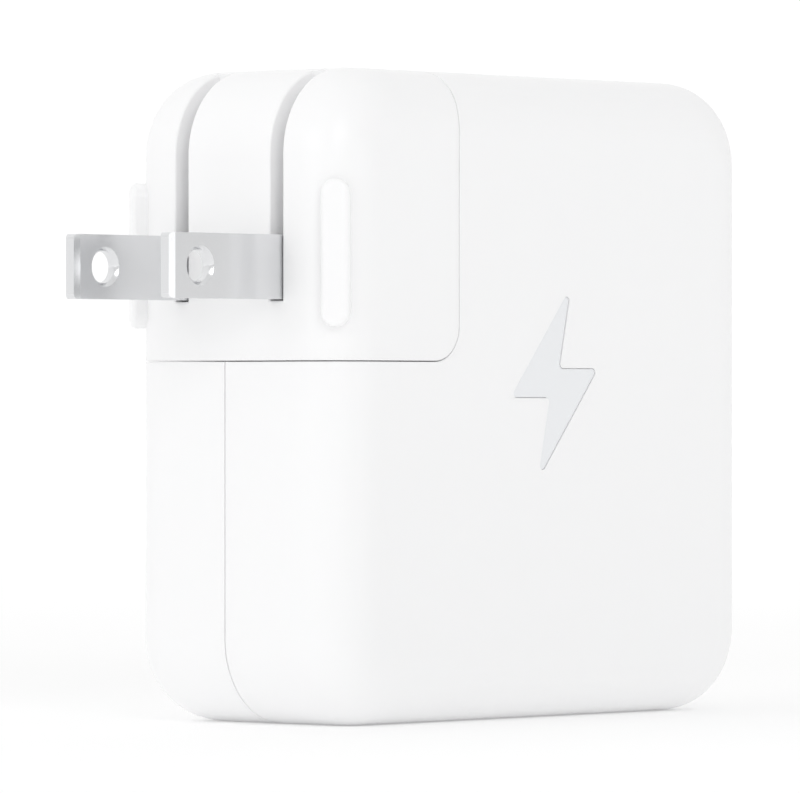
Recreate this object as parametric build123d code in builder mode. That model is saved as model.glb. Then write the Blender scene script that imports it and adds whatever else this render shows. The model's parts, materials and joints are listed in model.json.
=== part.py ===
"""A compact laptop power adapter with a removable plug head and two folding blades.

+X runs along the width, away from the blades, Y is the thickness and +Z is up.
The origin is the middle of the flat bottom. All sizes are in millimetres.
"""
from build123d import *
import math
import os

# Case
case_width = 65.0
case_height = 65.0
case_thickness = 28.6
corner_radius = 8.6
edge_blend = 6.6            # how far the soft edge reaches in from each side
edge_power = 2.5            # superellipse exponent of the soft edge
wall = 1.9
cavity_fillet = 4.0
seam_gap = 0.1
seam_y = 0.5                # the front shell is slightly deeper than the rear one
seam_round = 0.1
groove_round = 0.25
lip_depth = 1.5
lip_wall = 0.9
half_width = case_width / 2
half_thick = case_thickness / 2
mid_z = case_height / 2
inner_y = half_thick - wall

# Plug head: the removable corner block
head_depth = 18.3
head_inner_x = -half_width + head_depth
ledge_z = mid_z + 3.53
head_corner = 3.5
head_gap = 0.1
head_wall = 1.9
cavity_x0 = -half_width + 7.9            # rear of the solid block that holds the blades
base_thick = 1.2

# Blades
blade_thick = 1.5
blade_height = 6.35
blade_spacing = 12.7
blade_reach = 15.9
blade_hole_reach = 11.65
blade_hole_diameter = 3.18
blade_sink_diameter = 3.9
tip_round = 0.45
tip_bevel = 0.22
tip_taper = 0.7
pivot_x = -half_width + blade_height / 2
pivot_z = mid_z + 12.7
groove_width = 1.7
groove_gap = 0.12
rotor_radius = 1.7
rotor_length = 18.8
pin_radius = 0.75
running_gap = 0.05

# Grip ribs on the head's upright edges
rib_height = 14.5
rib_width = 2.9
rib_rise = 1.6
rib_root = 1.0
rib_angle = 37.0
rib_centre = (-half_width + 1.71, half_thick - 1.54, mid_z + 14.05)

# Inlet and stud
inlet_x = -22.0
pin_pitch = 8.6
inlet_pin_radius = 1.2
recess_radius = 3.9
recess_waist = 4.6
recess_depth = 11.0
cup_x = 10.4
cup_y = 19.2
cup_depth = 13.0
flange_thick = 1.2
post_gap = 0.2
post_bottom = ledge_z - head_gap - recess_depth + 0.5
socket_radius = 1.9
socket_bore = 1.3
stud_z = mid_z + 12.0
stud_radius = 1.5
stud_head_radius = 3.0
stud_head_x = head_inner_x - 1.95
stud_head_thick = 1.35
stud_thread = 3.0           # how far the stud reaches in behind the wall
slot_half = 1.7

# USB-C port in the far end face
port_width = 8.94
port_height = 3.26
port_wall = 0.3
port_depth = 7.2
port_face_x = half_width - 0.3
port_hole_gap = 0.12
contact_count = 12
contact_pitch = 0.5

# Circuit boards
board_y = 8.9               # the face of the main board that carries the parts
board_thick = 1.2
port_board_y = port_height / 2 + 0.02

# Emblem: a plain charging bolt
emblem_centre = (0.5, mid_z + 1.35)
emblem_depth = 0.4
emblem_gap = 0.06
emblem_sunk = 0.12

wall_x = head_inner_x + head_gap        # the case's upright wall behind the head
shelf_z = ledge_z - head_gap            # the case's ledge under the head
cover_floor_z = ledge_z + head_wall
cover_top_z = case_height - head_wall


def across(y):
    """The plane parallel to the large faces, at the given Y, facing -Y."""
    return Plane.XZ.offset(-y)


def save(builder, name):
    builder.part.label = name
    export_step(builder.part, f"parts/{name}.step")


def edge_curve():
    """Points of the soft edge as (Y, inset), a quarter of a superellipse."""
    points = []
    steps = 8
    for step in range(steps + 1):
        turn = math.pi / 2 * step / steps
        inset = edge_blend * (1 - math.cos(turn) ** (2 / edge_power))
        rise = half_thick - edge_blend * (1 - math.sin(turn) ** (2 / edge_power))
        points.append((rise, inset))
    return points


def soft_block():
    """The whole outer form of the adapter, before the head is parted from it."""
    side = half_width - corner_radius
    top = case_height - corner_radius
    points = edge_curve()
    with BuildPart() as form:
        with BuildLine(Plane.XZ) as outline:
            Line((0, 0), (side, 0))
            CenterArc((side, corner_radius), corner_radius, -90, 90)
            Line((half_width, corner_radius), (half_width, top))
            CenterArc((side, top), corner_radius, 0, 90)
            Line((side, case_height), (-side, case_height))
            CenterArc((-side, top), corner_radius, 90, 90)
            Line((-half_width, top), (-half_width, corner_radius))
            CenterArc((-side, corner_radius), corner_radius, 180, 90)
            Line((-side, 0), (0, 0))
        with BuildSketch(Plane.YZ):
            with BuildLine():
                right = Spline(*points, tangents=((1, 0), (0, 1)))
                left = Spline(*[(-y, z) for y, z in points], tangents=((-1, 0), (0, 1)))
                Line(left @ 0, right @ 0)
                Line(left @ 1, right @ 1)
            make_face()
        sweep(path=outline.wires()[0])
        with BuildSketch(Plane.XZ):
            with Locations((0, mid_z)):
                inner = 2 * edge_blend
                RectangleRounded(case_width - inner, case_height - inner, corner_radius - edge_blend)
        extrude(amount=half_thick, both=True)
    return form.part


def head_region(grow, thick=40.0):
    """The corner that the plug head fills, grown by a clearance on its inner sides."""
    x = head_inner_x + grow
    z = ledge_z - grow
    with BuildPart() as region:
        with BuildSketch(Plane.XZ) as corner:
            with BuildLine():
                Polyline((x, 90), (x, z), (-60, z), (-60, 90), close=True)
            make_face()
            fillet(corner.vertices().sort_by(Axis.Y)[:2].sort_by(Axis.X)[-1], head_corner + grow)
        extrude(amount=thick / 2, both=True)
    return region.part


def case_ring(inset, y_low, y_high):
    """The case's stepped outline, drawn in by an inset, between two Y planes."""
    with BuildPart() as ring:
        with BuildSketch(across(y_high)):
            with Locations((0, mid_z)):
                width = case_width - 2 * inset
                height = case_height - 2 * inset
                RectangleRounded(width, height, corner_radius - inset)
        extrude(amount=y_high - y_low)
        add(head_region(head_gap + inset), mode=Mode.SUBTRACT)
    return ring.part


def case_cavity():
    with BuildPart() as cavity:
        with BuildSketch(Plane.XZ):
            with Locations((0, mid_z)):
                width = case_width - 2 * wall
                height = case_height - 2 * wall
                RectangleRounded(width, height, corner_radius - wall)
        extrude(amount=inner_y, both=True)
        ends = cavity.faces().sort_by(Axis.Y)
        fillet(ends[0].edges() + ends[-1].edges(), cavity_fillet)
        add(head_region(head_gap + wall), mode=Mode.SUBTRACT)
    return cavity.part


def bolt_outline():
    """A plain charging bolt, drawn about the emblem's centre."""
    ex, ez = emblem_centre
    points = [(2.7, 10.0), (-6.9, -1.5), (-0.8, -1.5), (-2.7, -10.0), (6.9, 1.5), (0.8, 1.5)]
    return [(ex + x, ez + z) for x, z in points]


def case_body():
    """Both shells as one, with every opening cut through."""
    with BuildPart() as body:
        add(soft_block())
        add(head_region(head_gap), mode=Mode.SUBTRACT)
        add(case_cavity(), mode=Mode.SUBTRACT)
        with BuildSketch(Plane.YZ.offset(half_width - 2 * wall)):
            with Locations((0, mid_z)):
                length = port_width + 2 * port_hole_gap
                height = port_height + 2 * port_hole_gap
                SlotOverall(length, height, rotation=90)
        extrude(amount=4 * wall, mode=Mode.SUBTRACT)
        with BuildSketch(Plane.XY.offset(shelf_z - 2 * wall)):
            with Locations((inlet_x, 0)):
                RectangleRounded(cup_x + 0.1, cup_y + 0.1, 2.0)
        extrude(amount=3 * wall, mode=Mode.SUBTRACT)
        with BuildSketch(Plane.YZ.offset(wall_x - wall)):
            with Locations((0, stud_z)):
                Circle(stud_radius + 0.15)
        extrude(amount=3 * wall, mode=Mode.SUBTRACT)
    return body.part


def depth_below_surface(point):
    """How far a point lies inside the adapter's soft outer form."""
    ratio = (abs(point.Y) - half_thick + edge_blend) / edge_blend
    ratio = min(max(ratio, 0), 1)
    inset = edge_blend * (1 - (1 - ratio ** edge_power) ** (1 / edge_power))
    side_x = abs(point.X) - half_width + corner_radius
    side_z = abs(point.Z - mid_z) - half_width + corner_radius
    beyond = math.hypot(max(side_x, 0), max(side_z, 0)) + min(max(side_x, side_z), 0)
    from_outline = corner_radius - beyond - inset
    from_face = half_thick - abs(point.Y)
    return min(from_outline, from_face) if ratio < 1 else from_face


def is_rim(edge, radius):
    return edge.geom_type == GeomType.CIRCLE and abs(edge.radius - radius) < 0.01


def lies_in(edge, plane):
    return all(abs(plane.to_local_coords(edge @ t).Z) < 0.002 for t in (0.1, 0.5, 0.9))


def outer_edges(builder, planes, corner=None):
    """The edges on the outer form that lie in one of the planes or round the head's corner."""
    found = []
    for edge in builder.edges():
        wanted = any(lies_in(edge, plane) for plane in planes)
        if corner and is_rim(edge, corner):
            wanted = True
        if wanted and all(abs(depth_below_surface(edge @ t)) < 0.15 for t in (0.15, 0.5, 0.85)):
            found.append(edge)
    return found


def soften_shell(shell, seam):
    """Rounds a shell's edges along the seam, round the head's corner and round the port."""
    planes = [seam, Plane.YZ.offset(wall_x), Plane.XY.offset(shelf_z)]
    fillet(outer_edges(shell, planes, head_corner + head_gap), seam_round)
    end_face = [edge for edge in shell.edges() if lies_in(edge, Plane.YZ.offset(half_width))]
    port_edges = []
    for edge in end_face:
        middle = edge @ 0.5
        if abs(middle.Z - mid_z) < port_width and 0.3 < abs(middle.Y) < port_height:
            port_edges.append(edge)
    fillet(port_edges, seam_round)


def board_posts():
    return [(-24.0, 9.0), (26.0, 9.0), (26.0, 57.0), (-8.6, 57.0)]


def front_shell(body):
    with BuildPart() as shell:
        add(body)
        seam = across(seam_y - seam_gap / 2)
        split(bisect_by=seam, keep=Keep.TOP)
        soften_shell(shell, seam)
        add(case_ring(lip_wall, seam_y - lip_depth - 0.1, seam_y + 0.5), mode=Mode.SUBTRACT)
        with BuildSketch(across(-half_thick + emblem_depth)) as recess:
            with BuildLine():
                Polyline(*bolt_outline(), close=True)
            make_face()
            fillet(recess.vertices(), 0.45)
        extrude(amount=2 * emblem_depth, mode=Mode.SUBTRACT)
    save(shell, "front_shell")


def seam_lip():
    """The rear shell's lip, parted where the port, the inlet cup and the stud pass it."""
    inside = wall - lip_wall - 0.05
    port_x = half_width - wall + inside / 2
    cup_z = shelf_z - wall + inside / 2
    hole_x = wall_x + wall - inside / 2
    with BuildPart() as lip:
        add(case_ring(lip_wall + 0.05, seam_y - lip_depth, seam_y + seam_gap))
        add(case_cavity(), mode=Mode.SUBTRACT)
        with Locations((port_x, 0, mid_z)):
            Box(3 * inside, 4 * lip_depth, port_width + 0.6, mode=Mode.SUBTRACT)
        with Locations((inlet_x, 0, cup_z)):
            Box(cup_x + 0.1, 4 * lip_depth, 3 * inside, mode=Mode.SUBTRACT)
        with Locations((hole_x, 0, stud_z)):
            Box(3 * inside, 4 * lip_depth, 2 * stud_radius + 0.6, mode=Mode.SUBTRACT)
    return lip.part


def rear_shell(body):
    with BuildPart() as shell:
        add(body)
        seam = across(seam_y + seam_gap / 2)
        split(bisect_by=seam, keep=Keep.BOTTOM)
        soften_shell(shell, seam)
        add(seam_lip())
        with BuildSketch(across(inner_y + 0.5)):
            with Locations(*board_posts()):
                Circle(1.6)
        extrude(amount=inner_y + 0.5 - board_y - board_thick)
    save(shell, "rear_shell")


def emblem_inlay():
    with BuildPart() as inlay:
        with BuildSketch(across(-half_thick + emblem_depth)) as face:
            with BuildLine():
                Polyline(*bolt_outline(), close=True)
            make_face()
            fillet(face.vertices(), 0.45)
            offset(amount=-emblem_gap, mode=Mode.REPLACE)
        extrude(amount=emblem_depth - emblem_sunk)
    save(inlay, "emblem_inlay")


def figure_eight(radius, waist):
    """The two-lobed outline of the inlet, added to the sketch in progress."""
    with Locations((inlet_x, -pin_pitch / 2), (inlet_x, pin_pitch / 2)):
        Circle(radius)
    with Locations((inlet_x, 0)):
        Rectangle(waist, pin_pitch)


def inlet_cup():
    under = shelf_z - wall
    with BuildPart() as cup:
        with BuildSketch(Plane.XY.offset(shelf_z - cup_depth)):
            with Locations((inlet_x, 0)):
                RectangleRounded(cup_x, cup_y, 2.0)
        extrude(amount=cup_depth)
        with BuildSketch(Plane.XY.offset(under - flange_thick)):
            with Locations((inlet_x, 0)):
                RectangleRounded(cup_x + 2.0, cup_y + 2.0, 2.5)
        extrude(amount=flange_thick)
        with BuildSketch(Plane.XY.offset(shelf_z - recess_depth)):
            figure_eight(recess_radius, recess_waist)
        extrude(amount=recess_depth + 1, mode=Mode.SUBTRACT)
        with BuildSketch(Plane.XY.offset(shelf_z - cup_depth - 1)):
            with Locations((inlet_x, -pin_pitch / 2), (inlet_x, pin_pitch / 2)):
                Circle(inlet_pin_radius)
        extrude(amount=cup_depth, mode=Mode.SUBTRACT)
    save(cup, "inlet_cup")


def inlet_pin(name, y):
    low = shelf_z - cup_depth - 1.1
    high = shelf_z - 2.0
    with BuildPart() as pin:
        with BuildSketch(Plane.XY.offset(low)):
            with Locations((inlet_x, y)):
                Circle(inlet_pin_radius)
        extrude(amount=high - low)
        fillet(pin.edges().sort_by(Axis.Z)[-1], 0.9)
    save(pin, name)


def input_wire(name, y, landing_x):
    """A short lead from an inlet pin's tail to the main board."""
    radius = 0.6
    top = shelf_z - cup_depth - 1.1
    run_z = top - 1.2
    with BuildPart() as wire:
        with BuildLine() as route:
            FilletPolyline(
                (inlet_x, y, top),
                (inlet_x, y, run_z),
                (landing_x, y, run_z),
                (landing_x, board_y, run_z),
                radius=0.9,
            )
        with BuildSketch(Plane(origin=route.line @ 0, z_dir=route.line % 0)):
            Circle(radius)
        sweep()
    save(wire, name)


def ground_stud():
    """A headed stud: the head's rail slides behind its head."""
    with BuildPart() as stud:
        with BuildSketch(Plane.YZ.offset(stud_head_x - stud_head_thick)):
            with Locations((0, stud_z)):
                Circle(stud_head_radius)
        extrude(amount=stud_head_thick)
        chamfer(stud.edges().sort_by(Axis.X)[0], 0.3)
        with BuildSketch(Plane.YZ.offset(stud_head_x)):
            with Locations((0, stud_z)):
                Circle(stud_radius)
        extrude(amount=wall_x + wall + stud_thread - stud_head_x)
    save(stud, "ground_stud")


def stud_nut():
    with BuildPart() as nut:
        with BuildSketch(Plane.YZ.offset(wall_x + wall)):
            with Locations((0, stud_z)):
                RegularPolygon(5.5 / 2, 6, major_radius=False)
                Circle(stud_radius, mode=Mode.SUBTRACT)
        extrude(amount=2.2)
        chamfer(nut.edges().filter_by(GeomType.LINE).sort_by(Axis.X)[-6:], 0.25)
    save(nut, "stud_nut")


def groove_profile():
    """The side view of a blade's groove: round below the pivot and open at the top."""
    reach = blade_height / 2 + groove_gap
    with Locations((pivot_x, pivot_z)):
        Circle(reach)
    with Locations((pivot_x + reach, pivot_z)):
        Rectangle(40, 40, align=(Align.MAX, Align.MIN))
    with Locations((pivot_x, pivot_z)):
        Rectangle(40, reach, align=(Align.MAX, Align.MAX))


def rib_plane(side):
    """The plane of a grip rib's foot, on the rounded upright edge of the head."""
    x, y, z = rib_centre
    lean = math.radians(rib_angle)
    outward = (-math.cos(lean), side * math.sin(lean), 0)
    return Plane(origin=(x, side * y, z), x_dir=(0, 0, 1), z_dir=outward)


def grip_rib(side):
    with BuildPart() as rib:
        with BuildSketch(rib_plane(side).offset(-rib_root)):
            SlotOverall(rib_height, rib_width)
        extrude(amount=rib_root + rib_rise)
        top = rib.faces().sort_by(Axis(rib_plane(side).origin, rib_plane(side).z_dir))[-1]
        fillet(top.edges(), 0.55)
    return rib.part


def head_cavity(gap):
    """The hollow of the plug cover, open on the side that meets the case."""
    depth = head_inner_x - cavity_x0
    with BuildPart() as cavity:
        with BuildSketch(Plane.YZ.offset(cavity_x0)) as opening:
            with Locations((0, (cover_floor_z + cover_top_z) / 2)):
                width = 2 * (inner_y - gap)
                Rectangle(width, cover_top_z - cover_floor_z - 2 * gap)
            fillet(opening.vertices().group_by(Axis.Y)[-1], cavity_fillet)
            fillet(opening.vertices().group_by(Axis.Y)[0], 0.6)
        extrude(amount=depth)
    return cavity.part


def soften_cover(cover):
    """Rounds the cover's edges at the case and the lips of the blade grooves."""
    rim_planes = [Plane.YZ.offset(head_inner_x), Plane.XY.offset(ledge_z)]
    fillet(outer_edges(cover, rim_planes, head_corner), seam_round)
    lip_planes = [Plane.XY.offset(pivot_z - blade_height / 2 - groove_gap)]
    for centre in (-blade_spacing / 2, blade_spacing / 2):
        lip_planes.append(across(centre - groove_width / 2))
        lip_planes.append(across(centre + groove_width / 2))
    fillet(outer_edges(cover, lip_planes), groove_round)


def plug_cover():
    seat = rotor_radius + running_gap
    with BuildPart() as cover:
        add(soft_block())
        add(head_region(0), mode=Mode.INTERSECT)
        add(head_cavity(0), mode=Mode.SUBTRACT)
        for y in (-blade_spacing / 2, blade_spacing / 2):
            with BuildSketch(across(y + groove_width / 2)):
                groove_profile()
            extrude(amount=groove_width, mode=Mode.SUBTRACT)
        soften_cover(cover)
        for radius, length in ((seat, rotor_length + 0.4), (pin_radius + running_gap, rotor_length + 5.0)):
            with BuildSketch(across(length / 2)):
                with Locations((pivot_x, pivot_z)):
                    Circle(radius)
                with Locations(((pivot_x + cavity_x0) / 2, pivot_z)):
                    Rectangle(cavity_x0 - pivot_x + 0.01, 2 * radius)
            extrude(amount=length, mode=Mode.SUBTRACT)
        with BuildSketch(Plane.XY.offset(ledge_z - 1)):
            figure_eight(recess_radius - post_gap, recess_waist - 2 * post_gap)
        extrude(amount=head_wall + 1 + flange_thick + 0.2, mode=Mode.SUBTRACT)
        notch_x = stud_head_x - stud_head_thick - 0.3
        with BuildSketch(Plane.XY.offset(ledge_z - 1)):
            with Locations(((notch_x + head_inner_x + 1) / 2, 0)):
                Rectangle(head_inner_x + 1 - notch_x, 2 * stud_head_radius + 0.6)
        extrude(amount=head_wall + 3, mode=Mode.SUBTRACT)
        for side in (-1, 1):
            add(grip_rib(side))
    save(cover, "plug_cover")


def stud_slot():
    """The slot that the stud's neck runs in, added to the sketch in progress."""
    with Locations((0, stud_z)):
        Circle(slot_half)
    with Locations((0, (stud_z + ledge_z - 2) / 2)):
        Rectangle(2 * slot_half, stud_z - ledge_z + 2)


def plug_base():
    """The panel that closes the cover on the side of the case's wall."""
    with BuildPart() as base:
        add(head_cavity(0.05))
        add(head_region(0), mode=Mode.INTERSECT)
        split(bisect_by=Plane.YZ.offset(head_inner_x - base_thick), keep=Keep.TOP)
        with BuildSketch(Plane.YZ.offset(head_inner_x - base_thick - 1)):
            stud_slot()
        extrude(amount=base_thick + 2, mode=Mode.SUBTRACT)
    save(base, "plug_base")


def slot_rail():
    """The steel plate behind the base panel that hooks behind the stud's head."""
    rail_thick = head_inner_x - base_thick - stud_head_x - 0.15
    with BuildPart() as rail:
        with BuildSketch(Plane.YZ.offset(head_inner_x - base_thick)) as plate:
            with Locations((0, cover_floor_z + 0.2 + 8.0)):
                RectangleRounded(14.0, 16.0, 1.0)
            with Locations((-5.2, stud_z + 4.0), (5.2, stud_z + 4.0)):
                Circle(0.7, mode=Mode.SUBTRACT)
        extrude(amount=-rail_thick)
        with BuildSketch(Plane.YZ.offset(head_inner_x - base_thick - 2)):
            stud_slot()
        extrude(amount=4, mode=Mode.SUBTRACT)
    save(rail, "slot_rail")


def figure_eight_post():
    with BuildPart() as post:
        with BuildSketch(Plane.XY.offset(post_bottom)):
            figure_eight(recess_radius - post_gap, recess_waist - 2 * post_gap)
        extrude(amount=cover_floor_z - post_bottom)
        chamfer(post.edges().group_by(Axis.Z)[0], 0.3)
        with BuildSketch(Plane.XY.offset(cover_floor_z)):
            figure_eight(recess_radius - post_gap, recess_waist + 0.6)
        extrude(amount=flange_thick)
        with BuildSketch(Plane.XY.offset(post_bottom + 0.6)):
            with Locations((inlet_x, -pin_pitch / 2), (inlet_x, pin_pitch / 2)):
                Circle(socket_radius)
        extrude(amount=30, mode=Mode.SUBTRACT)
        with BuildSketch(Plane.XY.offset(post_bottom - 1)):
            with Locations((inlet_x, -pin_pitch / 2), (inlet_x, pin_pitch / 2)):
                Circle(socket_bore + 0.1)
        extrude(amount=3, mode=Mode.SUBTRACT)
    save(post, "figure_eight_post")


def contact_socket(name, y):
    low = post_bottom + 0.6
    high = cover_floor_z + flange_thick
    with BuildPart() as socket:
        with BuildSketch(Plane.XY.offset(low)):
            with Locations((inlet_x, y)):
                Circle(socket_radius)
                Circle(socket_bore, mode=Mode.SUBTRACT)
        extrude(amount=high - low)
    save(socket, name)


def contact_spring(name, side):
    """A bent strip from a socket up to the heel of its blade."""
    foot_z = cover_floor_z + flange_thick
    strip = 0.3
    back_x = cavity_x0 + 0.65
    touch_x = pivot_x + blade_height / 2 + 0.12 + strip / 2
    y = side * blade_spacing / 2
    with BuildPart() as spring:
        with BuildSketch(across(y + 1.4)):
            with BuildLine() as shape:
                Polyline(
                    (inlet_x + 1.9, foot_z + strip / 2),
                    (back_x, foot_z + strip / 2),
                    (back_x, pivot_z - 1.6),
                    (touch_x, pivot_z - 0.4),
                    (touch_x, pivot_z + 0.4),
                    (back_x, pivot_z + 1.6),
                    (back_x, pivot_z + 4.5),
                )
            trace(line_width=strip)
        extrude(amount=2.8)
        with Locations(((back_x + inlet_x + 1.9) / 2, side * 5.0, foot_z + strip / 2)):
            Box(inlet_x + 1.9 - back_x, 4.8, strip)
    save(spring, name)


def rotor_retainer():
    """Closes the rotor's trench from behind, with a saddle between the blades."""
    with BuildPart() as retainer:
        with Locations((cavity_x0 + 0.6, 0, pivot_z)):
            Box(1.2, 9.2, 11.0)
        with Locations(((pivot_x + cavity_x0) / 2 + 0.4, 0, pivot_z)):
            Box(cavity_x0 - pivot_x - 0.8, 9.2, 2 * rotor_radius - 0.1)
        fillet(retainer.edges().filter_by(Axis.X).group_by(Axis.Z)[-1], 0.8)
        with BuildSketch(across(6)):
            with Locations((pivot_x, pivot_z)):
                Circle(rotor_radius + 0.1)
        extrude(amount=12, mode=Mode.SUBTRACT)
    save(retainer, "rotor_retainer")


def pivot_pin():
    length = rotor_length + 4.8
    with BuildPart() as pin:
        with BuildSketch(across(length / 2)):
            with Locations((pivot_x, pivot_z)):
                Circle(pin_radius)
        extrude(amount=length)
        chamfer(pin.edges().filter_by(GeomType.CIRCLE), 0.15)
    save(pin, "pivot_pin")


def prong_rotor():
    """The insulating barrel that carries both blades on the pivot pin."""
    with BuildPart() as rotor:
        with BuildSketch(across(rotor_length / 2)):
            with Locations((pivot_x, pivot_z)):
                Circle(rotor_radius)
                Circle(pin_radius + running_gap, mode=Mode.SUBTRACT)
        extrude(amount=rotor_length)
    save(rotor, "prong_rotor")


def prong(name, y):
    """A folding blade with a round heel, a bevelled tip and a countersunk hole."""
    tip_x = -half_width - blade_reach
    hole_x = -half_width - blade_hole_reach
    half = blade_height / 2
    with BuildPart() as blade:
        with BuildSketch(across(y + blade_thick / 2)) as side_view:
            with Locations(((tip_x + pivot_x) / 2, pivot_z)):
                Rectangle(pivot_x - tip_x, blade_height)
            fillet(side_view.vertices().group_by(Axis.X)[0], tip_round)
            with Locations((pivot_x, pivot_z)):
                Circle(half)
                Circle(rotor_radius, mode=Mode.SUBTRACT)
        extrude(amount=blade_thick)
        with BuildSketch(Plane.XY.offset(pivot_z - blade_height)):
            with BuildLine():
                near = y - blade_thick / 2
                far = y + blade_thick / 2
                Polyline(
                    (tip_x, near + tip_bevel),
                    (tip_x + tip_taper, near),
                    (pivot_x + half, near),
                    (pivot_x + half, far),
                    (tip_x + tip_taper, far),
                    (tip_x, far - tip_bevel),
                    close=True,
                )
            make_face()
        extrude(amount=2 * blade_height, mode=Mode.INTERSECT)
        with Locations((hole_x, y, pivot_z)):
            Cylinder(blade_hole_diameter / 2, 3, rotation=(90, 0, 0), mode=Mode.SUBTRACT)
        rims = blade.edges().filter_by(lambda edge: is_rim(edge, blade_hole_diameter / 2))
        chamfer(rims, (blade_sink_diameter - blade_hole_diameter) / 2)
    save(blade, name)


def on_board(name, x, z, width, height, tall, rise=0.0, edge=0.0):
    """A rectangular part standing on the main board, towards the front shell."""
    with BuildPart() as item:
        with BuildSketch(across(board_y - rise)):
            with Locations((x, z)):
                if edge:
                    RectangleRounded(width, height, edge)
                else:
                    Rectangle(width, height)
        extrude(amount=tall)
        if edge:
            fillet(item.faces().sort_by(Axis.Y)[0].edges(), edge / 2)
    save(item, name)


def behind_board(name, spots, width, height, thick):
    """Flat chips soldered to the rear of the main board."""
    with BuildPart() as chips:
        with BuildSketch(across(board_y + board_thick + thick)):
            with Locations(*spots):
                Rectangle(width, height)
        extrude(amount=thick)
        chamfer(chips.faces().sort_by(Axis.Y)[-1].edges(), 0.15)
    save(chips, name)


def main_board():
    corners = [(-28.5, 5), (28.5, 5), (28.5, 59.5), (-11.2, 59.5), (-11.2, 32.6), (-16, 32.6)]
    corners += [(-16, 20.0), (-28.5, 20.0)]
    with BuildPart() as board:
        with BuildSketch(across(board_y + board_thick)) as outline:
            with BuildLine():
                Polyline(*corners, close=True)
            make_face()
            fillet(outline.vertices(), 0.8)
            with Locations(*board_posts()):
                Circle(0.9, mode=Mode.SUBTRACT)
        extrude(amount=board_thick)
    save(board, "main_board")


def choke():
    """A ring core with two half windings round it."""
    centre = (-5.6, 13.4)
    rise = 0.5
    core_thick = 5.6
    with BuildPart() as core:
        with BuildSketch(across(board_y - rise - 0.9)):
            with Locations(centre):
                Circle(6.2)
                Circle(3.4, mode=Mode.SUBTRACT)
        extrude(amount=core_thick)
    save(core, "choke_core")
    with BuildPart() as windings:
        with BuildSketch(across(board_y - rise)):
            with Locations(centre):
                Circle(7.0)
                Circle(2.5, mode=Mode.SUBTRACT)
                Rectangle(2.4, 16, mode=Mode.SUBTRACT)
        extrude(amount=core_thick + 1.8)
        add(core.part, mode=Mode.SUBTRACT)
    save(windings, "choke_windings")


def bulk_capacitor(name, z):
    """A mains capacitor lying along X, with the rolled groove near its end."""
    radius = 5.2
    length = 23.0
    left = 3.6
    y = board_y - radius - 0.2
    with BuildPart() as can:
        with BuildSketch(Plane.YZ.offset(left)):
            with Locations((y, z)):
                Circle(radius)
        extrude(amount=length)
        fillet(can.edges().filter_by(GeomType.CIRCLE), 0.6)
        with BuildSketch(Plane.YZ.offset(left + 2.2)):
            with Locations((y, z)):
                Circle(radius + 1)
                Circle(radius - 0.4, mode=Mode.SUBTRACT)
        extrude(amount=0.8, mode=Mode.SUBTRACT)
    save(can, name)


def transformer():
    """A power transformer whose winding axis stands square to the board."""
    x = 2.0
    z = 45.6
    half = 8.85
    window = 5.3
    post = 4.2
    with BuildPart() as core:
        with BuildSketch(across(half)):
            with Locations((x, z)):
                RectangleRounded(22.0, 20.0, 0.6)
        extrude(amount=2 * half)
        with BuildSketch(across(window)):
            with Locations((x, z)):
                Circle(8.2)
                Rectangle(12.0, 24.0)
                Circle(post, mode=Mode.SUBTRACT)
        extrude(amount=2 * window, mode=Mode.SUBTRACT)
    save(core, "transformer_core")
    with BuildPart() as bobbin:
        for high, radius in ((window - 0.1, 8.0), (-window + 0.9, 8.0)):
            with BuildSketch(across(high)):
                with Locations((x, z)):
                    Circle(radius)
            extrude(amount=0.8)
        with BuildSketch(across(window - 0.1)):
            with Locations((x, z)):
                Circle(5.1)
        extrude(amount=2 * window - 0.2)
        with BuildSketch(across(window)):
            with Locations((x, z)):
                Circle(post + 0.05)
        extrude(amount=2 * window, mode=Mode.SUBTRACT)
    save(bobbin, "transformer_bobbin")
    for name, inner, outer in (("transformer_winding", 5.1, 7.5), ("transformer_tape", 7.5, 7.8)):
        with BuildPart() as ring:
            with BuildSketch(across(window - 0.9)):
                with Locations((x, z)):
                    Circle(outer)
                    Circle(inner, mode=Mode.SUBTRACT)
            extrude(amount=2 * window - 1.8)
        save(ring, name)


def y_capacitor():
    with BuildPart() as disc:
        with BuildSketch(Plane.YZ.offset(9.0)):
            with Locations((board_y - 4.2, 30.2)):
                Circle(3.6)
        extrude(amount=2.6)
        fillet(disc.edges().filter_by(GeomType.CIRCLE), 0.9)
    save(disc, "y_capacitor")


def output_capacitors():
    with BuildPart() as cans:
        with BuildSketch(across(board_y)):
            with Locations((18.2, 55.0), (25.2, 55.2), (25.2, 47.6)):
                Circle(3.15)
        extrude(amount=9.0)
        fillet(cans.edges().filter_by(GeomType.CIRCLE).group_by(Axis.Y)[0], 0.4)
    save(cans, "output_capacitors")


def switching_transistors():
    with BuildPart() as pair:
        with BuildSketch(across(board_y)):
            with Locations((-13.0, 28.0), (-7.5, 28.0)):
                Rectangle(4.6, 6.0)
        extrude(amount=1.2)
        chamfer(pair.faces().sort_by(Axis.Y)[:2].edges(), 0.2)
    save(pair, "switching_transistors")


def port_board():
    with BuildPart() as board:
        with BuildSketch(across(port_board_y + 1.0)) as outline:
            with Locations((23.6, mid_z)):
                RectangleRounded(13.0, 13.4, 0.5)
        extrude(amount=1.0)
    save(board, "port_board")
    with BuildPart() as header:
        with BuildSketch(across(board_y)):
            with Locations((18.6, mid_z)):
                Rectangle(2.4, 9.0)
        extrude(amount=board_y - port_board_y - 1.0)
    save(header, "board_header")


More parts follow.
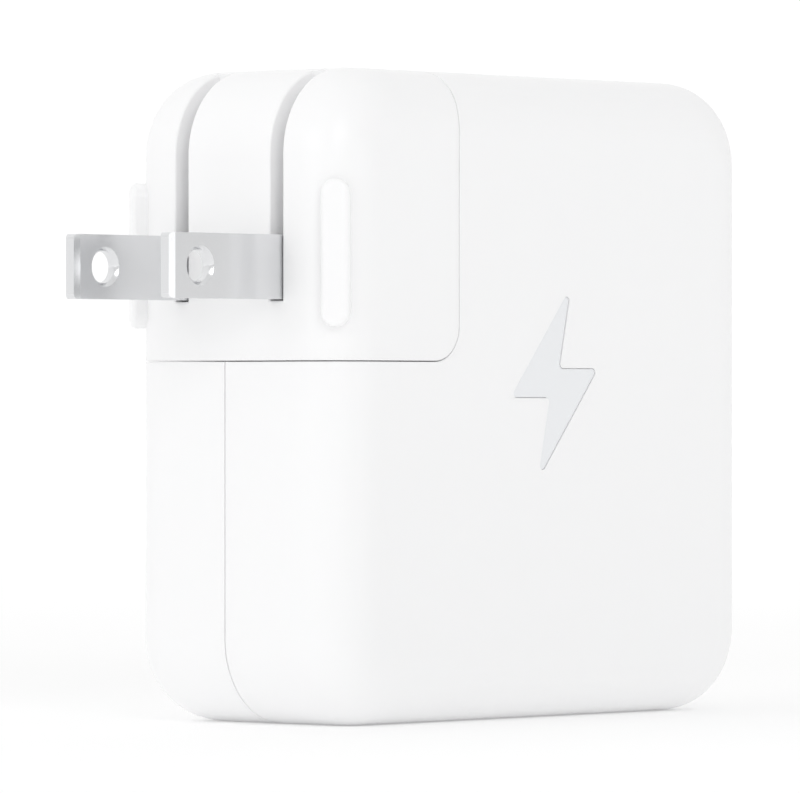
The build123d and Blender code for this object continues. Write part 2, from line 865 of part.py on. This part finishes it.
def usb_c_port():
    """The receptacle: a drawn steel shell, a centre tongue and its contacts."""
    back_x = port_face_x - port_depth
    with BuildPart() as shell:
        with BuildSketch(Plane.YZ.offset(back_x)):
            with Locations((0, mid_z)):
                SlotOverall(port_width, port_height, rotation=90)
                inner = (port_width - 2 * port_wall, port_height - 2 * port_wall)
                SlotOverall(*inner, rotation=90, mode=Mode.SUBTRACT)
        extrude(amount=port_depth)
    save(shell, "usb_c_shell")
    tongue_thick = 0.7
    tongue_width = 6.7
    with BuildPart() as tongue:
        with BuildSketch(Plane.YZ.offset(back_x)):
            with Locations((0, mid_z)):
                SlotOverall(*inner, rotation=90)
        extrude(amount=1.5)
        with BuildSketch(Plane.YZ.offset(back_x)):
            with Locations((0, mid_z)):
                Rectangle(tongue_thick, tongue_width)
        extrude(amount=port_depth - 0.6)
        chamfer(tongue.faces().sort_by(Axis.X)[-1].edges(), 0.15)
    save(tongue, "usb_c_tongue")
    contact_thick = 0.06
    with BuildPart() as contacts:
        for side in (-1, 1):
            y = side * (tongue_thick + contact_thick) / 2
            for index in range(contact_count):
                z = mid_z + (index - (contact_count - 1) / 2) * contact_pitch
                with Locations((back_x + 3.6, y, z)):
                    Box(4.2, contact_thick, 0.26)
    save(contacts, "usb_c_contacts")


def case_plate(name, y_high, thick):
    """A flat sheet lying inside the front shell, stepped round the head's corner."""
    corners = [(-26, 6.4), (26, 6.4), (26, 58.6), (-11.4, 58.6), (-11.4, 33.2), (-26, 33.2)]
    with BuildPart() as plate:
        with BuildSketch(across(y_high)) as outline:
            with BuildLine():
                Polyline(*corners, close=True)
            make_face()
            fillet(outline.vertices(), 1.5)
        extrude(amount=thick)
    save(plate, name)


def rear_plate(name, y_high, thick):
    with BuildPart() as plate:
        with BuildSketch(across(y_high)):
            with Locations((8.6, 31.6)):
                RectangleRounded(30.0, 50.0, 1.5)
        extrude(amount=thick)
    save(plate, name)


def heat_and_insulation():
    case_plate("front_heat_spreader", -inner_y + 0.6, 0.55)
    case_plate("front_insulation_film", -inner_y + 0.85, 0.2)
    rear_plate("rear_heat_spreader", inner_y - 0.05, 0.55)
    rear_plate("rear_insulation_film", inner_y - 0.65, 0.2)
    pad_top = -8.85
    with BuildPart() as pad:
        with BuildSketch(across(pad_top)):
            with Locations((2.0, 45.6)):
                RectangleRounded(20.0, 18.0, 1.0)
        extrude(amount=pad_top + inner_y - 0.85)
    save(pad, "thermal_pad")


def electronics():
    main_board()
    on_board("fuse", -23.4, 17.6, 8.0, 3.0, 3.6, edge=0.4)
    on_board("x_capacitor", -21.4, 10.6, 12.6, 9.0, 11.5, edge=0.8)
    choke()
    on_board("bridge_rectifier", 2.6, 29.6, 8.4, 6.4, 1.9, edge=0.3)
    bulk_capacitor("lower_bulk_capacitor", 9.4)
    bulk_capacitor("upper_bulk_capacitor", 20.2)
    transformer()
    y_capacitor()
    switching_transistors()
    on_board("output_inductor", 17.8, 46.4, 7.0, 7.0, 4.2, edge=0.5)
    output_capacitors()
    behind_board("controller_chip", [(4.0, 22.0)], 6.0, 5.0, 1.0)
    behind_board("optocoupler", [(-3.0, 36.0)], 4.4, 6.6, 1.1)
    behind_board("rectifier_transistors", [(16.0, 40.0), (16.0, 50.0)], 6.0, 5.0, 1.0)
    port_board()
    usb_c_port()
    heat_and_insulation()


def main():
    os.makedirs("parts", exist_ok=True)
    body = case_body()
    front_shell(body)
    rear_shell(body)
    emblem_inlay()
    inlet_cup()
    inlet_pin("live_inlet_pin", -pin_pitch / 2)
    inlet_pin("neutral_inlet_pin", pin_pitch / 2)
    input_wire("live_input_wire", -pin_pitch / 2, -13.2)
    input_wire("neutral_input_wire", pin_pitch / 2, -15.0)
    ground_stud()
    stud_nut()
    electronics()
    plug_cover()
    plug_base()
    slot_rail()
    figure_eight_post()
    contact_socket("live_socket", -pin_pitch / 2)
    contact_socket("neutral_socket", pin_pitch / 2)
    contact_spring("live_contact_spring", -1)
    contact_spring("neutral_contact_spring", 1)
    rotor_retainer()
    pivot_pin()
    prong_rotor()
    prong("live_prong", -blade_spacing / 2)
    prong("neutral_prong", blade_spacing / 2)


main()
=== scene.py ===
"""The looks of a white laptop power adapter with folding blades, built round its CAD frame.

Every visible piece is a CAD node with a procedural material, and the blades' edges get a
fine bevel. The floor, the lights and the camera stand round it. Lengths are in metres.
"""

import json
import math

import bpy
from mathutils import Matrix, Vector


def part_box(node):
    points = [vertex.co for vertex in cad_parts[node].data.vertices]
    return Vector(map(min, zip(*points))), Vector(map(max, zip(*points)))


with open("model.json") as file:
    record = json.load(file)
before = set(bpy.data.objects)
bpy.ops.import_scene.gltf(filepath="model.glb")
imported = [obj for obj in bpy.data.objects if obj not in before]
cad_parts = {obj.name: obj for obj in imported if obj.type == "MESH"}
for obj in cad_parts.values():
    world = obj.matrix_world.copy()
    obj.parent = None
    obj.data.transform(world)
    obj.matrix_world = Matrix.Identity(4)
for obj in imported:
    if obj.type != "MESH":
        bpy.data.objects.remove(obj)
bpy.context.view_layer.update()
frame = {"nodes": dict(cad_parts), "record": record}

MM = 0.001
CASE_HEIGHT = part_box("rear_shell")[1][2]
MIDDLE = Vector((0.0, 0.0, CASE_HEIGHT / 2))

# The camera is level with the middle of the case and about 0.74 m from it.
CAMERA_DISTANCE = 0.7448
CAMERA_TURN = math.radians(48.95)       # where it stands, from -Y towards -X
CAMERA_AIM = math.radians(48.60)        # which way it looks
CAMERA_LENS = 328.6
SENSOR = 36.0
CAMERA_REACH = 200.0                    # nothing further away is drawn

# Soft round lights: where each stands, how wide it is, and its power in watts.
KEY_PLACE = (-0.5, -0.8, 0.45)
KEY_SIZE = 0.5
KEY_POWER = 1.12
SIDE_PLACE = (-1.0, 0.05, 0.35)
SIDE_SIZE = 0.5
SIDE_POWER = 0.7
EDGE_PLACE = (0.19, -0.78, MIDDLE.z)
EDGE_SIZE = 0.2
EDGE_POWER = 0.1

# The world brightens towards this direction, from the front level to the back level.
ROOM_WAY = (0.0, 0.8, 0.6)
FRONT_LEVEL = 0.63
BACK_LEVEL = 1.01

# A patch of the world, in the direction that the camera looks, is brighter still. It is
# given by the cosine of the angle to that direction, where it starts and where it is full.
BACKDROP_WAY = (0.75, 0.66, 0.0)
BACKDROP_EDGE = (0.90, 0.97)
BACKDROP_EXTRA = 0.12

# Diffuse light bounces up to this often, so that some of it gets into the grooves.
DIFFUSE_BOUNCES = 8

# The floor gives off a little light, and more of it away from the adapter.
FLOOR_HALF = 30.0
GLOW_RANGE = (0.15, 1.2)
GLOW_LEVELS = (0.12, 0.26)

# The bevel on the blades' edges.
WELD_GAP = 0.002 * MM
BEVEL_WIDTH = 0.07 * MM
BEVEL_SEGMENTS = 3
BEVEL_ANGLE = math.radians(22)

# Scales of the slow changes of tone and of gloss on moulded plastic.
TONE_SCALE = 28.0
GLOSS_SCALE = 160.0


# ---------------------------------------------------------------- node helpers

def new_material(name):
    """A new material with one Principled shader. Returns it, its node tree and that shader."""
    material = bpy.data.materials.new(name)
    material.use_nodes = True
    tree = material.node_tree
    tree.nodes.clear()
    output = tree.nodes.new("ShaderNodeOutputMaterial")
    shader = tree.nodes.new("ShaderNodeBsdfPrincipled")
    tree.links.new(shader.outputs["BSDF"], output.inputs["Surface"])
    return material, tree, shader


def node(tree, kind, **settings):
    """A new node, with its inputs or its own settings given by name."""
    made = tree.nodes.new(kind)
    for key, value in settings.items():
        if key in made.inputs:
            made.inputs[key].default_value = value
        else:
            setattr(made, key, value)
    return made


def object_coords(tree, scale=(1.0, 1.0, 1.0)):
    """Object coordinates. A pattern on them is stretched where a scale is under 1."""
    coords = node(tree, "ShaderNodeTexCoord")
    mapping = node(tree, "ShaderNodeMapping")
    mapping.inputs["Scale"].default_value = scale
    tree.links.new(coords.outputs["Object"], mapping.inputs["Vector"])
    return mapping.outputs["Vector"]


def noise(tree, vector, scale, detail=3.0, roughness=0.5):
    made = node(tree, "ShaderNodeTexNoise")
    made.inputs["Scale"].default_value = scale
    made.inputs["Detail"].default_value = detail
    made.inputs["Roughness"].default_value = roughness
    tree.links.new(vector, made.inputs["Vector"])
    return made.outputs["Fac"]


def ramp(tree, factor, low, high):
    """A mix of two colours or greys by a factor."""
    made = node(tree, "ShaderNodeValToRGB")
    made.color_ramp.elements[0].color = low
    made.color_ramp.elements[0].position = 0.3
    made.color_ramp.elements[1].color = high
    made.color_ramp.elements[1].position = 0.7
    tree.links.new(factor, made.inputs["Fac"])
    return made.outputs["Color"]


def grey(value):
    return (value, value, value, 1.0)


def shade(colour, factor):
    return tuple(min(1.0, channel * factor) for channel in colour[:3]) + (1.0,)


def bump(tree, shader, height, strength, distance):
    made = node(tree, "ShaderNodeBump")
    made.inputs["Strength"].default_value = strength
    made.inputs["Distance"].default_value = distance
    tree.links.new(height, made.inputs["Height"])
    tree.links.new(made.outputs["Normal"], shader.inputs["Normal"])


# ---------------------------------------------------------------- materials

def moulded_plastic(name, colour, rough, spread=0.02, grain=9000.0, relief=0.000004, coat=0.0):
    """Moulded plastic: a fine even grain, with slow changes of tone and gloss."""
    material, tree, shader = new_material(name)
    vector = object_coords(tree)
    slow = noise(tree, vector, TONE_SCALE, 2.0)
    tone = ramp(tree, slow, shade(colour, 1.0 - spread), shade(colour, 1.0))
    tree.links.new(tone, shader.inputs["Base Color"])
    uneven = noise(tree, vector, GLOSS_SCALE, 4.0)
    gloss = ramp(tree, uneven, grey(rough * 0.93), grey(rough * 1.07))
    tree.links.new(gloss, shader.inputs["Roughness"])
    bump(tree, shader, noise(tree, vector, grain, 2.0), 0.25, relief)
    if coat:
        shader.inputs["Coat Weight"].default_value = coat
        shader.inputs["Coat Roughness"].default_value = 0.12
    return material


def white_case():
    """The case's white polycarbonate: glossy, with a very fine moulded grain."""
    material = moulded_plastic("white_polycarbonate", (0.934, 0.934, 0.938), 0.30, 0.006)
    shader = material.node_tree.nodes["Principled BSDF"]
    shader.inputs["Specular IOR Level"].default_value = 0.42
    shader.inputs["Subsurface Weight"].default_value = 0.12
    shader.inputs["Subsurface Radius"].default_value = (0.001, 0.001, 0.001)
    shader.inputs["Subsurface Scale"].default_value = 1.0
    return material


def brushed_metal(name, colour, rough, along=(1.0, 1.0, 1.0), lines=3500.0, relief=0.000003):
    """Metal with fine drawn lines: noise stretched along the direction of the lines."""
    material, tree, shader = new_material(name)
    shader.inputs["Metallic"].default_value = 1.0
    vector = object_coords(tree, along)
    streaks = noise(tree, vector, lines, 4.0, 0.6)
    tone = ramp(tree, streaks, shade(colour, 0.985), shade(colour, 1.01))
    tree.links.new(tone, shader.inputs["Base Color"])
    gloss = ramp(tree, streaks, grey(rough * 0.92), grey(rough * 1.1))
    tree.links.new(gloss, shader.inputs["Roughness"])
    bump(tree, shader, streaks, 0.3, relief)
    return material


def solder_mask():
    """Green solder mask over a faint pattern of buried copper tracks."""
    material, tree, shader = new_material("solder_mask")
    vector = object_coords(tree)
    tracks = node(tree, "ShaderNodeTexBrick")
    tracks.inputs["Scale"].default_value = 420.0
    tracks.inputs["Mortar Size"].default_value = 0.04
    tracks.inputs["Color1"].default_value = (0.010, 0.085, 0.035, 1.0)
    tracks.inputs["Color2"].default_value = (0.014, 0.105, 0.045, 1.0)
    tracks.inputs["Mortar"].default_value = (0.03, 0.17, 0.07, 1.0)
    tree.links.new(vector, tracks.inputs["Vector"])
    tree.links.new(tracks.outputs["Color"], shader.inputs["Base Color"])
    gloss = ramp(tree, noise(tree, vector, 300.0), grey(0.30), grey(0.42))
    tree.links.new(gloss, shader.inputs["Roughness"])
    bump(tree, shader, tracks.outputs["Fac"], 0.3, 0.00002)
    return material


def wound_wire():
    """Enamelled copper wire: close ridges round Y, as on the transformer. The choke's have the
    same direction, where real turns would pass through its ring."""
    material, tree, shader = new_material("enamelled_wire")
    vector = object_coords(tree)
    turns = node(tree, "ShaderNodeTexWave", wave_type="BANDS", bands_direction="Y")
    turns.inputs["Scale"].default_value = 620.0
    turns.inputs["Distortion"].default_value = 0.4
    tree.links.new(vector, turns.inputs["Vector"])
    # The copper is darker in the valleys between the turns: painted shade between the turns, over
    # the wire's own copper colour.
    tone = ramp(tree, turns.outputs["Fac"], (0.28, 0.09, 0.03, 1.0), (0.72, 0.32, 0.14, 1.0))
    tree.links.new(tone, shader.inputs["Base Color"])
    shader.inputs["Metallic"].default_value = 0.7
    gloss = ramp(tree, noise(tree, vector, 900.0), grey(0.24), grey(0.38))
    tree.links.new(gloss, shader.inputs["Roughness"])
    bump(tree, shader, turns.outputs["Fac"], 0.8, 0.0001)
    return material


def make_materials():
    """One finished material for each of the record's material slots."""
    steel = (0.70, 0.70, 0.695)
    nickel = (0.775, 0.78, 0.79)
    soft_white = (0.9, 0.9, 0.905)
    dark = (0.035, 0.035, 0.038)
    return {
        "case_white": white_case(),
        "emblem_grey": moulded_plastic("emblem_grey", (0.86, 0.873, 0.89), 0.22, 0.02, coat=0.3),
        "inner_white": moulded_plastic("inner_white", soft_white, 0.48, 0.03, 5000.0, 0.00001),
        "rotor_plastic": moulded_plastic("rotor_plastic", soft_white, 0.5, 0.04, 5000.0, 0.00001),
        "blade_nickel": brushed_metal(
            "blade_nickel", nickel, 0.2, (0.15, 1.0, 1.0), lines=9000.0, relief=0.0000008
        ),
        "plated_steel": brushed_metal("plated_steel", steel, 0.22, (1.0, 1.0, 0.2)),
        "pin_brass": brushed_metal("plated_brass", (0.80, 0.66, 0.38), 0.24, (1.0, 1.0, 0.1)),
        "contact_gold": brushed_metal("contact_gold", (0.94, 0.75, 0.34), 0.2, (0.1, 1.0, 1.0)),
        "tongue_black": moulded_plastic("tongue_black", dark, 0.4, 0.15, 4000.0, 0.00001),
        "wire_black": moulded_plastic("wire_black", (0.03, 0.03, 0.03), 0.45, 0.2, 3000.0, 0.00002),
        "wire_white": moulded_plastic("wire_white", (0.8, 0.8, 0.78), 0.45, 0.05, 3000.0, 0.00002),
        "board_green": solder_mask(),
        "chip_black": moulded_plastic("chip_black", (0.03, 0.03, 0.033), 0.5, 0.2, 6000.0, 0.00002),
        "capacitor_sleeve": moulded_plastic("capacitor_sleeve", (0.03, 0.035, 0.06), 0.28, 0.15),
        "capacitor_can": brushed_metal("capacitor_can", (0.83, 0.84, 0.86), 0.3, (1.0, 0.1, 1.0)),
        "film_box_yellow": moulded_plastic("film_box", (0.72, 0.52, 0.07), 0.35, 0.08),
        "disc_blue": moulded_plastic("disc_blue", (0.05, 0.18, 0.5), 0.25, 0.1),
        "fuse_brown": moulded_plastic("fuse_brown", (0.18, 0.08, 0.04), 0.3, 0.15),
        "ferrite": moulded_plastic("ferrite", (0.06, 0.06, 0.065), 0.62, 0.25, 2500.0, 0.00005),
        "copper_winding": wound_wire(),
        "bobbin_black": moulded_plastic("bobbin_black", (0.04, 0.04, 0.04), 0.45, 0.15),
        "tape_yellow": moulded_plastic("tape_yellow", (0.8, 0.6, 0.08), 0.25, 0.06),
        "spreader_aluminium": brushed_metal("spreader", (0.86, 0.87, 0.88), 0.34, (1.0, 1.0, 0.05)),
        "film_amber": moulded_plastic("film_amber", (0.42, 0.2, 0.03), 0.22, 0.1),
        "pad_grey": moulded_plastic("pad_grey", (0.4, 0.43, 0.47), 0.7, 0.1, 2000.0, 0.00006),
    }


def dress_nodes():
    """Gives every CAD node the finished material of its slot."""
    finishes = make_materials()
    for subpart in frame["record"]["subparts"]:
        piece = frame["nodes"][subpart["node"]]
        piece.data.materials.clear()
        piece.data.materials.append(finishes[subpart["material_slot"]])


# ---------------------------------------------------------------- studio

def make_floor():
    """A wide pale floor that the adapter stands on, and that glows further out."""
    mesh = bpy.data.meshes.new("floor")
    sides = [(-1, -1), (1, -1), (1, 1), (-1, 1)]
    corners = [(x * FLOOR_HALF, y * FLOOR_HALF, 0) for x, y in sides]
    mesh.from_pydata(corners, [], [(0, 1, 2, 3)])
    floor = bpy.data.objects.new("floor", mesh)
    bpy.context.scene.collection.objects.link(floor)
    material, tree, shader = new_material("pale_floor")
    tone = ramp(tree, noise(tree, object_coords(tree), 3.0), grey(0.90), grey(0.92))
    tree.links.new(tone, shader.inputs["Base Color"])
    shader.inputs["Roughness"].default_value = 0.9
    shader.inputs["Specular IOR Level"].default_value = 0.1
    shader.inputs["Emission Color"].default_value = (1.0, 1.0, 1.0, 1.0)
    away = node(tree, "ShaderNodeVectorMath", operation="LENGTH")
    tree.links.new(object_coords(tree), away.inputs[0])
    glow = node(tree, "ShaderNodeMapRange")
    glow.inputs["From Min"].default_value = GLOW_RANGE[0]
    glow.inputs["From Max"].default_value = GLOW_RANGE[1]
    glow.inputs["To Min"].default_value = GLOW_LEVELS[0]
    glow.inputs["To Max"].default_value = GLOW_LEVELS[1]
    tree.links.new(away.outputs["Value"], glow.inputs["Value"])
    tree.links.new(glow.outputs["Result"], shader.inputs["Emission Strength"])
    mesh.materials.append(material)


def soft_light(name, place, size, power):
    """A round area light that points at the middle of the case."""
    data = bpy.data.lights.new(name, "AREA")
    data.shape = "DISK"
    data.size = size
    data.energy = power
    lamp = bpy.data.objects.new(name, data)
    lamp.location = Vector(place)
    lamp.rotation_euler = (MIDDLE - lamp.location).to_track_quat("-Z", "Y").to_euler()
    bpy.context.scene.collection.objects.link(lamp)


def level_towards(tree, direction, sides, levels):
    """A brightness that runs between two levels as the view turns towards a direction."""
    coords = node(tree, "ShaderNodeTexCoord")
    facing = node(tree, "ShaderNodeVectorMath", operation="DOT_PRODUCT")
    facing.inputs[1].default_value = direction
    tree.links.new(coords.outputs["Generated"], facing.inputs[0])
    level = node(tree, "ShaderNodeMapRange")
    level.inputs["From Min"].default_value = sides[0]
    level.inputs["From Max"].default_value = sides[1]
    level.inputs["To Min"].default_value = levels[0]
    level.inputs["To Max"].default_value = levels[1]
    tree.links.new(facing.outputs["Value"], level.inputs["Value"])
    return level.outputs["Result"]


def make_light():
    """The world's white light, and three soft lights round the adapter."""
    world = bpy.data.worlds.new("studio")
    bpy.context.scene.world = world
    world.use_nodes = True
    tree = world.node_tree
    background = tree.nodes["Background"]
    background.inputs["Color"].default_value = (1.0, 1.0, 1.0, 1.0)
    room = level_towards(tree, ROOM_WAY, (-1.0, 1.0), (FRONT_LEVEL, BACK_LEVEL))
    backdrop = level_towards(tree, BACKDROP_WAY, BACKDROP_EDGE, (0.0, BACKDROP_EXTRA))
    total = node(tree, "ShaderNodeMath", operation="ADD")
    tree.links.new(room, total.inputs[0])
    tree.links.new(backdrop, total.inputs[1])
    tree.links.new(total.outputs["Value"], background.inputs["Strength"])
    soft_light("key", KEY_PLACE, KEY_SIZE, KEY_POWER)
    soft_light("side_fill", SIDE_PLACE, SIDE_SIZE, SIDE_POWER)
    soft_light("edge_light", EDGE_PLACE, EDGE_SIZE, EDGE_POWER)
    scene = bpy.context.scene
    scene.view_settings.view_transform = "Standard"
    scene.cycles.diffuse_bounces = DIFFUSE_BOUNCES


def make_camera():
    """A level camera with a long lens."""
    data = bpy.data.cameras.new("camera")
    data.lens = CAMERA_LENS
    data.sensor_width = SENSOR
    data.clip_end = CAMERA_REACH
    camera = bpy.data.objects.new("camera", data)
    away = Vector((-math.sin(CAMERA_TURN), -math.cos(CAMERA_TURN), 0.0))
    camera.location = MIDDLE + away * CAMERA_DISTANCE
    camera.rotation_euler = (math.pi / 2, 0.0, -CAMERA_AIM)
    bpy.context.scene.collection.objects.link(camera)
    bpy.context.scene.camera = camera


def crisp_edges():
    """A hairline bevel along the blades' edges, which catches the light."""
    for name in ("live_prong", "neutral_prong"):
        piece = frame["nodes"][name]
        weld = piece.modifiers.new("weld", "WELD")
        weld.merge_threshold = WELD_GAP
        bevel = piece.modifiers.new("bevel", "BEVEL")
        bevel.width = BEVEL_WIDTH
        bevel.segments = BEVEL_SEGMENTS
        bevel.limit_method = "ANGLE"
        bevel.angle_limit = BEVEL_ANGLE
        bevel.harden_normals = True


dress_nodes()
crisp_edges()
make_floor()
make_light()
make_camera()
